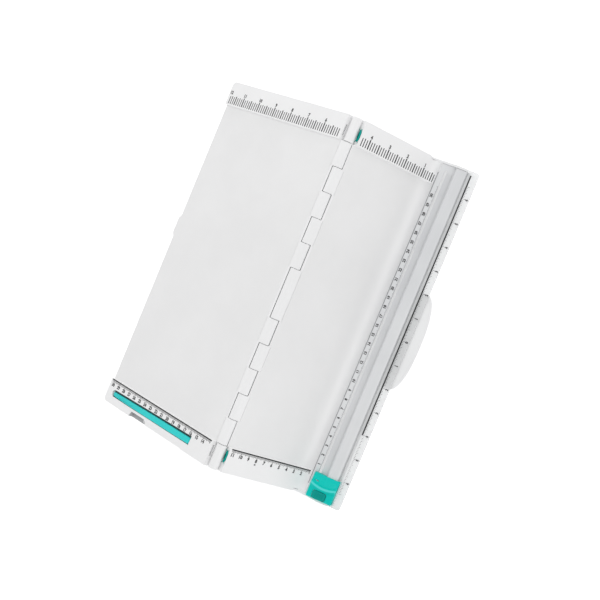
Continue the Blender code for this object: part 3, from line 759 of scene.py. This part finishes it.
def cmRuler(side, body, place):
    look = rulerLook
    bm = bmesh.new()
    low, high = look[side + "Span"]
    lineStart, lineEnd = (look["lip"] + step for step in look["cmLine"])
    ends = (low, high) if side == "right" else (-high, -low)
    addMark(bm, ends[0], ends[1], -lineEnd, -lineStart, look["lipTop"])
    for count in range(0, 310):
        x = onBoard(count)
        if (x > 0) != (side == "right") or not low < abs(x) < high:
            continue
        half = look["cmWidth"] / 2 * (1.4 if count % 10 == 0 else 1.0)
        length = tickLength(look["cmTicks"], count)
        addMark(bm, x - half, x + half, -lineEnd - 0.2 - length, -lineEnd - 0.1, look["lipTop"])
    drop, height = look["cmNumeral"]
    for number in range(1, 31):
        x = onBoard(number * 10)
        if (x > 0) == (side == "right") and low + 2 < abs(x) < high - 1:
            addNumeral(bm, str(number), x, -look["lip"] - drop, look["lipTop"], height)
    if side == "right":                                  # small pointer under the eighth numeral
        x, y = onBoard(look["pointerAt"]), -look["lip"] - look["pointerDrop"]
        pointer = [(x - 1.3, y), (x + 1.3, y), (x, y + 2.0)]
        outline = bmOutline([(px, py, look["lipTop"] - inkLook["sink"]) for px, py in pointer],
                            (0, 0, inkLook["sink"] + inkLook["rise"]))
        joinShape(bm, outline)
    return finishPiece(side + "CentimetreMarks", closeShapes(bm), body, "greyInk", place)


for side, body, place in (("right", "base", rightBoard), ("left", "left_leaf", leftBoard)):
    inchRuler(side, body, place)
    cmRuler(side, body, place)


armScaleLook = {"strip": 2.3, "slotEdge": 16.25, "ticks": {10: 1.5, 5: 1.15, 1: 0.75}, "tickWidth": 0.26,
                "numeral": (13.3, 2.6), "first": -155.7, "wing": 2.7, "line": (41.4, 42.8),
                "lineFrom": -102.0, "lineTo": 176.5, "wingStart": 43.0, "wingWidth": 0.32,
                "wingTicks": {16: 3.0, 8: 2.4, 4: 1.9, 2: 1.4, 1: 1.0}, "wingNumeral": (47.4, 2.6)}


def stripScale():
    look = armScaleLook
    bm = bmesh.new()
    for count in range(0, 311):
        y = look["first"] + count
        length = tickLength(look["ticks"], count)
        half = look["tickWidth"] / 2
        addMark(bm, look["slotEdge"] - length, look["slotEdge"], y - half, y + half, look["strip"])
    x, height = look["numeral"]
    for number in range(1, 31):
        addNumeral(bm, str(number), x, look["first"] + 10 * number, look["strip"], height, 90)
    return finishPiece("stripScaleMarks", closeShapes(bm), "arm", "greyInk", arm)


def wingScale():
    look = armScaleLook
    bm = bmesh.new()
    for count in range(-16 * 6 - 8, 16 * 6 + 9):
        y = count * inch / 16
        length = tickLength(look["wingTicks"], count)
        half = look["wingWidth"] / 2
        addMark(bm, look["wingStart"], look["wingStart"] + length, y - half, y + half, look["wing"])
    x, height = look["wingNumeral"]
    for number in range(-6, 7):
        addNumeral(bm, str(abs(number)), x, number * inch, look["wing"], height, 90)
    return finishPiece("wingScaleMarks", closeShapes(bm), "arm", "greyInk", arm)


def guideLine():
    look = armScaleLook
    bm = bmesh.new()
    addMark(bm, look["line"][0], look["line"][1], look["lineFrom"], look["lineTo"], look["wing"])
    return finishPiece("wingGuideLine", bm, "arm", "blackInk", arm)


stripScale()
wingScale()
guideLine()
print("rulers printed")


# finger tab
tabLook = {"inner": 41.6, "wing": 50.0, "edge": 61.3, "middle": 1.0, "half": 50.5, "low": -0.2, "high": 0.8,
           "rim": 2.4, "sink": 0.25, "steps": 48}


def fingerTab():
    look = tabLook
    outline = [(look["inner"], look["middle"] - look["half"]), (look["wing"], look["middle"] - look["half"])]
    for i in range(1, look["steps"]):
        t = -1 + 2 * i / look["steps"]
        bulge = (1 - abs(t) ** 2.6) ** 0.62
        x = look["wing"] + (look["edge"] - look["wing"]) * bulge
        outline.append((x, look["middle"] + look["half"] * t))
    outline += [(look["wing"], look["middle"] + look["half"]), (look["inner"], look["middle"] + look["half"])]
    bm = bmOutline([(x, y, look["low"]) for x, y in outline], (0, 0, look["high"] - look["low"]))
    top = [f for f in bm.faces if f.normal.z > 0.9]
    bmesh.ops.inset_region(bm, faces=top, thickness=0.3, depth=0.0, use_even_offset=True)
    bmesh.ops.inset_region(bm, faces=top, thickness=look["rim"] - 0.6, depth=0.0, use_even_offset=True)
    bmesh.ops.inset_region(bm, faces=top, thickness=0.3, depth=-look["sink"], use_even_offset=True)
    return finishPiece("fingerTabPlate", bm, "arm", "tabPlastic", arm, ["finger_tab"], 30.0)


fingerTab()


# carriage: smile-shaped ridge over a thumb dish with the press pad in it
carriageLook = {"left": 14.0, "right": 41.0, "near": -178.1, "far": -153.3, "strips": 26, "smile": 2.8,
                "dish": 0.55, "edge": 0.55, "crest": 14.95, "skirt": (22.9, 2.6, 4.25)}

# hollows in the carriage: x range, y range from its near end, z range
carriageRooms = {"track": ((25.9, 37.9), (-1.0, 25.8), (0.0, 7.1)),
                 "blade": ((16.1, 21.0), (5.5, 18.3), (0.0, 11.8)),
                 "spring": ((18.0, 33.8), (0.6, 9.1), (8.2, 12.3))}
padHoleLook = {"x": (19.1, 33.7), "y": (0.6, 8.9), "corner": 1.9, "from": 11.5, "depth": 8.5}


def carriageRoom(name):
    (x0, x1), (y0, y1), (z0, z1) = carriageRooms[name]
    near = carriageLook["near"]
    return bmBlock(x0, x1, near + y0, near + y1, z0, z1)


def carriageProfile():
    near, far = carriageLook["near"], carriageLook["far"]
    # y, z, how far the smile carries the point at the sides
    return [(near, 4.2, 0), (near, 12.2, 0), (near + 0.9, 13.2, 0), (near + 3.4, 13.0, 0),
            (near + 6.8, 13.0, 0.5), (near + 8.9, 13.2, 1), (near + 10.4, 14.5, 1), (near + 11.4, 15.1, 1),
            (near + 12.6, 15.28, 1), (near + 13.5, 15.1, 1), (near + 14.1, 14.4, 1), (near + 14.9, 12.6, 1),
            (near + 16.4, 11.9, 0.7), (far - 4.6, 11.2, 0.2), (far - 2.2, 10.4, 0), (far - 0.6, 9.2, 0),
            (far, 8.2, 0), (far, 4.2, 0)]


def carriageShell():
    look = carriageLook
    bm = bmesh.new()
    points = carriageProfile()
    ring = [bm.verts.new((look["left"], y, z)) for y, z, _ in points]
    edges = [bm.edges.new((ring[i - 1], ring[i])) for i in range(len(ring))]
    width = look["right"] - look["left"]
    for _ in range(look["strips"]):
        grown = bmesh.ops.extrude_edge_only(bm, edges=edges)["geom"]
        edges = [g for g in grown if isinstance(g, bmesh.types.BMEdge)]
        moved = [g for g in grown if isinstance(g, bmesh.types.BMVert)]
        bmesh.ops.translate(bm, vec=(width / look["strips"], 0, 0), verts=moved)
    bmesh.ops.holes_fill(bm, edges=bm.edges, sides=0)
    carry = {(round(y, 3), round(z, 3)): c for y, z, c in points}
    for v in bm.verts:
        u = 2 * (v.co.x - look["left"]) / width - 1
        share = carry[(round(v.co.y, 3), round(v.co.z, 3))]
        if share > 0:
            v.co.y += share * look["smile"] * u * u
        elif look["near"] + 2 < v.co.y < look["near"] + 8 and v.co.z > 12:
            v.co.z -= look["dish"] * (1 - u * u)
    bmesh.ops.recalc_face_normals(bm, faces=bm.faces)
    sides = (look["left"], look["right"])
    easeEdges(bm, look["edge"], 3, 25.0, keep=lambda e: any(
        all(abs(v.co.x - x) < 0.001 for v in e.verts) for x in sides))
    return bm


def carriageBody():
    look = carriageLook
    near, far = look["near"], look["far"]
    bm = carriageShell()
    hole = padHoleLook
    padHole = roundedBox(*hole["x"], near + hole["y"][0], near + hole["y"][1], hole["corner"])
    cutters = [carriageRoom(name) for name in carriageRooms]
    cutters.append(bmOutline([(x, y, hole["from"]) for x, y in padHole], (0, 0, hole["depth"])))
    bm = carve(bm, cutters)
    skirtRight, skirtLow, skirtHigh = look["skirt"]
    skirt = bmBlock(look["left"], skirtRight, near, far, skirtLow, skirtHigh)
    joinShape(bm, carve(skirt, [carriageRoom("blade")]))
    bm.normal_update()
    bm.faces.index_update()
    # painted highlight: the ridge's crest gets a lighter teal that stands in for the bright line of light
    # along it
    crest = [f.index for f in bm.faces if f.normal.z > 0.85 and f.calc_center_median().z > look["crest"]]
    piece = finishPiece("carriageShell", bm, "carriage", "tealPlastic", arm, ["carriage_body"], 32.0)
    piece.data.materials.append(finishes["crestPaintedHighlight"])
    for index in crest:
        piece.data.polygons[index].material_index = 1
    return piece


padLook = {"x": (19.5, 33.3), "y": (-177.1, -169.6), "low": 12.2, "high": 13.55, "corner": 1.7, "dip": 0.4,
           "bars": 5, "barEnds": 2.4, "barMargin": 2.1, "barHalf": 0.22, "barRound": 0.12}


def pressPad():
    look = padLook
    (x0, x1), (y0, y1) = look["x"], look["y"]
    outline = [(x, y, look["low"]) for x, y in roundedBox(x0, x1, y0, y1, look["corner"])]
    bm = bmOutline(outline, (0, 0, look["high"] - look["low"]))
    top = [f for f in bm.faces if f.normal.z > 0.9]
    bmesh.ops.inset_region(bm, faces=top, thickness=0.35, depth=0.2, use_even_offset=True)
    bmesh.ops.inset_region(bm, faces=top, thickness=0.5, depth=0.0, use_even_offset=True)
    bmesh.ops.inset_region(bm, faces=top, thickness=0.5, depth=-look["dip"], use_even_offset=True)
    ends, margin, half = look["barEnds"], look["barMargin"], look["barHalf"]
    low, high = look["high"] - look["dip"] - 0.1, look["high"] + 0.02
    for i in range(look["bars"]):                        # grip bars across the dish
        y = y0 + margin + i * (y1 - y0 - 2 * margin) / (look["bars"] - 1)
        bar = addBar(bm, x0 + ends, x1 - ends, y - half, y + half, low, high)
        rim = [e for e in {e for v in bar["verts"] for e in v.link_edges}
               if all(v.co.z > high - 0.01 for v in e.verts)]
        bmesh.ops.bevel(bm, geom=rim, offset=look["barRound"], offset_type="OFFSET", affect="EDGES",
                        segments=2, profile=0.5, material=-1, clamp_overlap=True)
    return finishPiece("pressPad", bm, "blade_press", "deepTealPlastic", arm, ["press_button"])


bladeLook = {"radius": 6.5, "half": 0.2, "bore": 1.5, "grind": 0.95, "honed": (0.25, 0.06), "steps": 120,
             "at": (17.5, -165.7, 6.35)}


def roundBlade():
    look = bladeLook
    r, half = look["radius"], look["half"]
    bm = bmesh.new()
    back, thin = look["honed"]
    section = [(look["bore"], -half), (r - look["grind"], -half), (r - back, -thin), (r, 0.0),
               (r - back, thin), (r - look["grind"], half), (look["bore"], half)]
    ring = [bm.verts.new((x, 0, z)) for x, z in section]
    edges = [bm.edges.new((ring[i - 1], ring[i])) for i in range(len(ring))]
    bmesh.ops.spin(bm, geom=ring + edges, cent=(0, 0, 0), axis=(0, 0, 1), angle=2 * math.pi,
                   steps=look["steps"], use_merge=True)
    bmesh.ops.remove_doubles(bm, verts=bm.verts, dist=0.0005)
    bmesh.ops.recalc_face_normals(bm, faces=bm.faces)
    turn = Matrix.Rotation(math.radians(90), 4, "Y")
    at = arm @ Matrix.Translation(look["at"]) @ turn
    return finishPiece("roundBlade", bm, "blade", "bladeSteel", at, ["rotary_blade"], 12.0)


carriageBody()
pressPad()
roundBlade()
print("carriage, press pad and blade done")


# bone folder
folderLook = {"start": (-173.0, -169.6), "length": 136.0, "tilt": 0.4, "low": 5.1, "thick": 3.0, "edge": 1.1,
              "relief": 0.7, "taper": 26.0, "tipHeight": 0.45, "steps": 26,
              "slim": 2.6, "swell": 0.9, "swellLength": 150.0, "heel": 1.6}


def folderPlan():
    look = folderLook
    upper = []
    for i in range(look["steps"] + 1):
        s = look["length"] * i / look["steps"]
        along = min(1.0, s / look["swellLength"])
        upper.append((s, look["slim"] + look["swell"] * math.sin(math.pi * along ** 0.8 / 1.9)))
    blunt = arcPoints(0.6, 0.0, upper[0][1], 270, 90, 8)
    corner = look["heel"]
    heel = arcPoints(look["length"] - corner, upper[-1][1] - corner, corner, 90, 0, 4)
    half = [(x, y) for x, y in upper[1:] if x < look["length"] - 2] + heel
    return blunt + half + [(x, -y) for x, y in reversed(half)]


def boneFolder():
    look = folderLook
    bm = bmOutline([(x, y, 0) for x, y in folderPlan()], (0, 0, look["thick"]))
    for v in bm.verts:                                   # the ruler side stands clear of the pocket wall
        v.co.y -= look["relief"] * min(1.0, max(0.0, v.co.y - 1.0) / 1.6)
    easeEdges(bm, look["edge"], 4, 50.0, keep=lambda e: all(v.co.z > 0.1 for v in e.verts))
    for v in bm.verts:                                   # the scoring tip thins down
        if v.co.x < look["taper"]:
            share = 1 - v.co.x / look["taper"]
            v.co.z *= 1 - (1 - look["tipHeight"]) * share ** 1.6
    start = Matrix.Translation((*look["start"], look["low"]))
    at = leftBoard @ start @ Matrix.Rotation(math.radians(look["tilt"]), 4, "Z")
    return finishPiece("tealBoneFolder", bm, "scoring_tool", "folderPlastic", at,
                       ["bone_folder"], 35.0)


boneFolder()
print("bone folder done")
